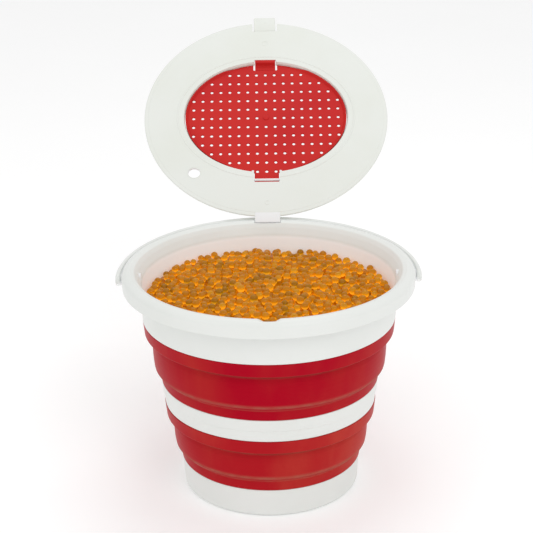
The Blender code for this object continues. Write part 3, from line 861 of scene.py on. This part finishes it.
def gate_mark(name, place, radius):
    """A shallow ring that moulding leaves, standing 0.2 mm proud of the lid's inner face."""
    height, root = 0.2 * mm, 0.3 * mm
    profile = [Vector((radius - 0.5 * mm, root)), Vector((radius - 0.4 * mm, -height)),
               Vector((radius + 0.1 * mm, -height)), Vector((radius + 0.5 * mm, root))]
    mark = turned(name, profile + profile[:1], lid_plastic, sides=36)
    mark.data.transform(Matrix.Translation(place))
    return mark


marks = [gate_mark("mark", Vector((0, y, lid_face)), radius)
         for y, radius in ((30 * mm - lid_radius, 3.2 * mm), (lid_radius - 17 * mm, 2.4 * mm))]
marks.append(gate_mark("mark", vent, 7.4 * mm))
carve(lid, joined=marks)
fit(opened(lid), "lid", "lid_ring")

# %% Latch flap
flap = block("lid_flap", (-latch_width / 2, -lid_radius - 7.8 * mm, lid_face),
             (latch_width / 2, latch_line - 0.3 * mm, lid_face + lid_thickness), corners=1.6 * mm,
             ease=0.55 * mm, finish=lid_plastic)
pip = rod("pip", (0, -lid_radius + 0.4 * mm, lid_face - 0.3 * mm),
          (0, -lid_radius + 0.4 * mm, lid_face + 1 * mm), 0.9 * mm, sides=20, ease=0.2 * mm)
carve(flap, joined=[pip])
fit(opened(flap), "lid_latch", "lid_latch")

# %% [markdown]
# ## Strainer hatch
#
# The red hatch is a shallow oval tray full of round holes. It hooks on the lid's bar with a tongue at one
# end and snaps at the other. The holes repeat on a grid, so a tree lays the grid, keeps the points inside
# the oval, puts one small cutter on each and takes them all out of the plate in one go. A cutter is
# waisted, which leaves each hole with a chamfer on both faces.


# %% The tree of holes
def hole_tree():
    board, given = geometry_board("strainer_holes", (
        ("Plate", "Geometry"), ("Cutter", "Object"), ("Rows", "Int"), ("Columns", "Int"),
        ("Pitch X", "Float"), ("Pitch Y", "Float"), ("Field X", "Float"), ("Field Y", "Float"),
        ("Tongue Holes", "Float"), ("Height", "Float"), ("Finish", "Material")))
    grid = board.node("GeometryNodeMeshGrid", {}, {
        "Size X": given["Pitch X"] * (given["Columns"] - 1),
        "Size Y": given["Pitch Y"] * (given["Rows"] - 1),
        "Vertices X": given["Columns"], "Vertices Y": given["Rows"]})["Mesh"]
    at = board.node("ShaderNodeSeparateXYZ", {}, {0: board.node("GeometryNodeInputPosition")[0]})
    across, along = at["X"] / given["Field X"], at["Y"] / given["Field Y"]
    reach = across * across + along * along
    outside = board.math("GREATER_THAN", reach, 1.0)
    centre = board.math("LESS_THAN", reach, 0.002)
    on_tongue = (board.math("LESS_THAN", board.math("ABSOLUTE", at["X"]), given["Tongue Holes"])
                 * board.math("GREATER_THAN", at["Y"], 0.0))
    unwanted = board.math("GREATER_THAN", outside * (1 - on_tongue) + centre, 0.5)
    kept = board.node("GeometryNodeDeleteGeometry", {"domain": "POINT"}, {
        "Geometry": grid, "Selection": unwanted})[0]
    lifted = board.node("GeometryNodeTransform", {}, {
        "Geometry": kept,
        "Translation": board.node("ShaderNodeCombineXYZ", {}, {"Z": given["Height"]})[0]})[0]
    cutter = board.node("GeometryNodeObjectInfo", {}, {"Object": given["Cutter"]})["Geometry"]
    holes = board.node("GeometryNodeInstanceOnPoints", {}, {"Points": lifted, "Instance": cutter})[0]
    tools = board.node("GeometryNodeRealizeInstances", {}, {"Geometry": holes})[0]
    plate = board.node("GeometryNodeMeshBoolean", {"operation": "DIFFERENCE", "solver": "EXACT"}, {
        "Mesh 1": given["Plate"], "Mesh 2": tools})["Mesh"]
    return hand_over(board, plate, given["Finish"])


# %% Tray with its tongue and hook
def tray_stretch(radius):
    """How much wider than deep a ring of the tray is."""
    return radius * (hatch_a / hatch_b - 1)


tray_rise = 2.7 * mm
tray_profile = rounded([
    (0, hatch_back, 0), (hatch_b, hatch_back, 0.5 * mm), (hatch_b, hatch_face - tray_rise, 0.4 * mm),
    (hatch_b - 1.0 * mm, hatch_face - tray_rise, 0.35 * mm), (hatch_b - 2.8 * mm, hatch_face, 1.2 * mm),
    (0, hatch_face, 0)], closed=False)
tray = turned("strainer_panel", spaced(tray_profile, closed=False, longest=20 * mm), red_plastic,
              sides=200, stretch=tray_stretch)
for vertex in tray.data.vertices:
    if vertex.co.z < hatch_face - 0.01 * mm:
        low = smooth(abs(vertex.co.y), hatch_b * 0.84, hatch_b * 0.93)
        vertex.co.z += (hatch_face - vertex.co.z) * low * 0.98
tray_tools = [
    block("hatch_tongue", (-tongue_width / 2, hatch_b - 10 * mm, hatch_face),
          (tongue_width / 2, bar.y, hatch_back)),
    along_bar("hook", tongue_width / 2, hook_outer),
    rod("centre_boss", (0, 0, hatch_face - 0.8 * mm), (0, 0, hatch_back - 0.3 * mm), 3.2 * mm,
        ease=0.3 * mm)]
hook_mouth = block("hook_mouth", (-tongue_width, bar.y - beyond, bar.z - beyond),
                   (tongue_width, bar.y + beyond, bar.z))
hook_eye = along_bar("hook_eye", tongue_width, bar_radius + 0.3 * mm)
snap_gap = block("snap_gap", (-snap_width / 2 - 2 * mm, -hatch_b - beyond, hatch_face - beyond),
                 (snap_width / 2 + 2 * mm, snap_root, hatch_back + beyond), corners=0.8 * mm)
carve(tray, joined=tray_tools, cut=[hook_mouth, hook_eye, snap_gap])

# %% Perforating the tray
waist, flare, chamfer, half = 1.65 * mm, 3.75 * mm, 0.55 * mm, hatch_thickness / 2
cutter = turned("hole_cutter", [Vector(pair) for pair in (
    (0, -3 * mm), (flare, -3 * mm), (waist, chamfer - half), (waist, half - chamfer),
    (flare, 3 * mm), (0, 3 * mm))], None, sides=12)
plate = tray.data
bpy.data.objects.remove(tray)
strainer = grow("strainer_panel", plate, hole_tree(), Cutter=cutter, Rows=13, Columns=17,
                Finish=red_plastic, Height=hatch_face + half,
                **{"Pitch X": 9.7 * mm, "Pitch Y": 11.8 * mm, "Field X": hatch_a,
                   "Field Y": hatch_b - 4.7 * mm, "Tongue Holes": 10 * mm})
bpy.data.objects.remove(cutter)
outward(strainer)
fit(opened(strainer), "hatch", "strainer_hatch")


# %% Snap tab
def snap_tab(finish, finger=1.5 * mm):
    """A springy plate that turns down at the hatch's edge and ends in a rolled lip."""
    edge = -hatch_b
    foot = lid_face - 1 * mm
    section = rounded([
        (snap_root - 0.3 * mm, hatch_back, 0.3 * mm), (edge - 0.6 * mm, hatch_back, 1.6 * mm),
        (edge - 0.6 * mm, lid_face + 1 * mm, 0.8 * mm), (edge - 3 * mm, lid_face + 1 * mm, 0.9 * mm),
        (edge - 3 * mm, foot, 0.9 * mm), (edge + 0.9 * mm, foot, 1.0 * mm),
        (edge + finger, hatch_face, 0.8 * mm), (snap_root - 0.3 * mm, hatch_face, 0.3 * mm)])
    bm = bmesh.new()
    face = bm.faces.new([bm.verts.new((-snap_width / 2, point.x, point.y)) for point in section])
    grown = bmesh.ops.extrude_face_region(bm, geom=[face])
    bmesh.ops.translate(bm, vec=(snap_width, 0, 0),
                        verts=[part for part in grown["geom"] if isinstance(part, bmesh.types.BMVert)])
    ends = [edge for edge in bm.edges if abs(edge.verts[0].co.x - edge.verts[1].co.x) < 1e-6]
    bmesh.ops.bevel(bm, geom=ends, offset=0.25 * mm, segments=2, profile=0.5, affect="EDGES")
    return outward(solid("strainer_snap", bm, finish))


snap = snap_tab(red_plastic)
fit(opened(snap), "hatch_latch", "hatch_latch")

# %% [markdown]
# ## Gel beads
#
# The bucket is filled nearly to the brim with amber gel beads. Only the top of the heap shows, so a domed
# sheet stands for the rest, and a tree scatters beads over it with none too close to another, in two
# layers. Each bead gets a size and a tone of its own from a fixed seed. They move with the rim, because
# there is room for them inside it even when the bucket is folded.


# %% Gel finish
def gel(name, own_tone):
    """Amber gel, with a painted glow low on each bead and painted shade on its crown, for light that
    gathers low in a bead.
    """
    material, board, shader = principled(name)
    tone = board.node("ShaderNodeAttribute", {"attribute_name": "tone"})["Fac"] if own_tone else 0.3
    ramp = board.node("ShaderNodeValToRGB", {}, {"Fac": tone}, stops=[
        (0.0, (0.34, 0.16, 0.0, 1)), (0.22, (0.62, 0.22, 0.0, 1)),
        (0.75, (0.80, 0.29, 0.0, 1)), (1.0, (0.92, 0.42, 0.01, 1))])["Color"]
    facing = board.node("ShaderNodeSeparateXYZ", {}, {0: board.node("ShaderNodeNewGeometry")["Normal"]})
    # Painted glow: faces that look down emit bright amber, standing in for light that gathers low in a
    # bead.
    low = 1 - board.step(facing["Z"], -0.45, 0.35)
    # Painted shade: faces that look up are darkened towards brown on the crown.
    deep = board.step(facing["Z"], 0.1, 0.8)
    board.join(blended(board, deep * 0.6, ramp, (0.34, 0.13, 0.0, 1)), shader["Base Color"])
    board.join(blended(board, low, (0.0, 0.0, 0.0, 1), (0.95, 0.46, 0.02, 1)),
               shader["Emission Color"])
    shader["Emission Strength"].default_value = 0.62
    shader["Roughness"].default_value = 0.04
    shader["Specular IOR Level"].default_value = 0.3
    shader["IOR"].default_value = 1.38
    return material


# %% The tree of beads
def bead_tree():
    board, given = geometry_board("scatter_beads", (
        ("Heap", "Geometry"), ("Spacing", "Float"), ("Radius", "Float"), ("Layer Drop", "Float"),
        ("Seed", "Int"), ("Finish", "Material")))
    seed = given["Seed"]
    layers = []
    for layer in (0, 1):
        points = board.node("GeometryNodeDistributePointsOnFaces", {"distribute_method": "POISSON"}, {
            "Mesh": given["Heap"], "Distance Min": given["Spacing"], "Density Max": 60000.0,
            "Seed": seed + layer})["Points"]
        jitter = board.random(seed + 10 + layer, -0.5, 0.5)
        lift = given["Radius"] * jitter - given["Layer Drop"] * layer
        points = board.node("GeometryNodeSetPosition", {}, {
            "Geometry": points,
            "Offset": board.node("ShaderNodeCombineXYZ", {}, {"Z": lift})[0]})[0]
        layers.append(points)
    joined = board.node("GeometryNodeJoinGeometry")
    for points in layers:
        board.join(points, joined.node.inputs[0])
    toned = board.node("GeometryNodeStoreNamedAttribute", {"data_type": "FLOAT", "domain": "POINT"}, {
        "Geometry": joined[0], "Name": "tone", "Value": board.random(seed + 20)})[0]
    turn = board.random(seed + 40, 0.0, math.tau)
    ball = board.node("GeometryNodeMeshIcoSphere", {}, {
        "Radius": given["Radius"], "Subdivisions": 2})["Mesh"]
    beads = board.node("GeometryNodeInstanceOnPoints", {}, {
        "Points": toned, "Instance": ball,
        "Rotation": board.node("ShaderNodeCombineXYZ", {}, {"X": turn, "Y": turn * 1.7})[0],
        "Scale": board.random(seed + 30, 0.86, 1.08)})[0]
    mesh = board.node("GeometryNodeRealizeInstances", {}, {"Geometry": beads})[0]
    mesh = board.node("GeometryNodeSetShadeSmooth", {}, {"Geometry": mesh})[0]
    return hand_over(board, mesh, given["Finish"])


# %% Heap and beads
bead_radius = 3.75 * mm
heap_radius = neck_radius - wall - clearance
heap_edge = crest - 31.5 * mm
heap_foot, dome = heap_edge - 2.5 * mm, 3.5 * mm


def heap_height(radius):
    """The heap is level with a low dome in its middle."""
    return heap_edge + dome * (1 - (radius / heap_radius) ** 2)


heap_profile = [Vector((heap_radius * k / 12, heap_height(heap_radius * k / 12))) for k in range(13)]
heap_profile += [Vector((heap_radius, heap_foot)), Vector((0, heap_foot))]
# The sheet's top looks up, so the gel's painted crown shade darkens it all over.
heap = turned("gel_heap", heap_profile, gel("deep_gel", False), sides=96)
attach(heap, "rim")

bed = bpy.data.meshes.new("bead_bed")
bm = bmesh.new()
bmesh.ops.create_circle(bm, cap_ends=True, segments=64, radius=heap_radius - bead_radius * 1.1)
bmesh.ops.poke(bm, faces=bm.faces)
bmesh.ops.subdivide_edges(bm, edges=bm.edges, cuts=5, use_grid_fill=True)
for vertex in bm.verts:
    vertex.co.z = heap_height(vertex.co.xy.length) + bead_radius * 1.05
bm.to_mesh(bed)
bm.free()
beads = grow("gel_beads", bed, bead_tree(), Spacing=bead_radius * 1.72, Radius=bead_radius,
             Seed=7, Finish=gel("amber_gel", True), **{"Layer Drop": bead_radius * 1.15})
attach(beads, "rim")
print("beads:", len(beads.data.polygons) // 80, "of 80 faces each")

# %% [markdown]
# ## Floor
#
# A wide, pale and quite matt floor. It is so wide that its edge is never seen behind the bucket.


# %% Floor
def studio_floor(radius=14.0):
    material, board, shader = principled("pale_floor")
    where = board.node("ShaderNodeTexCoord")["Object"]
    board.join(blended(board, noise(board, where, 3.0), (0.94, 0.94, 0.94, 1), (0.96, 0.96, 0.96, 1)),
               shader["Base Color"])
    shader["Roughness"].default_value = 0.95
    shader["Specular IOR Level"].default_value = 0.1
    shader["Emission Color"].default_value = (1, 1, 1, 1)
    shader["Emission Strength"].default_value = 0.11
    bm = bmesh.new()
    bmesh.ops.create_circle(bm, cap_ends=True, segments=64, radius=radius)
    return solid("floor", bm, material)


floor = studio_floor()
print("floor faces up:", all(face.normal.z > 0 for face in floor.data.polygons))
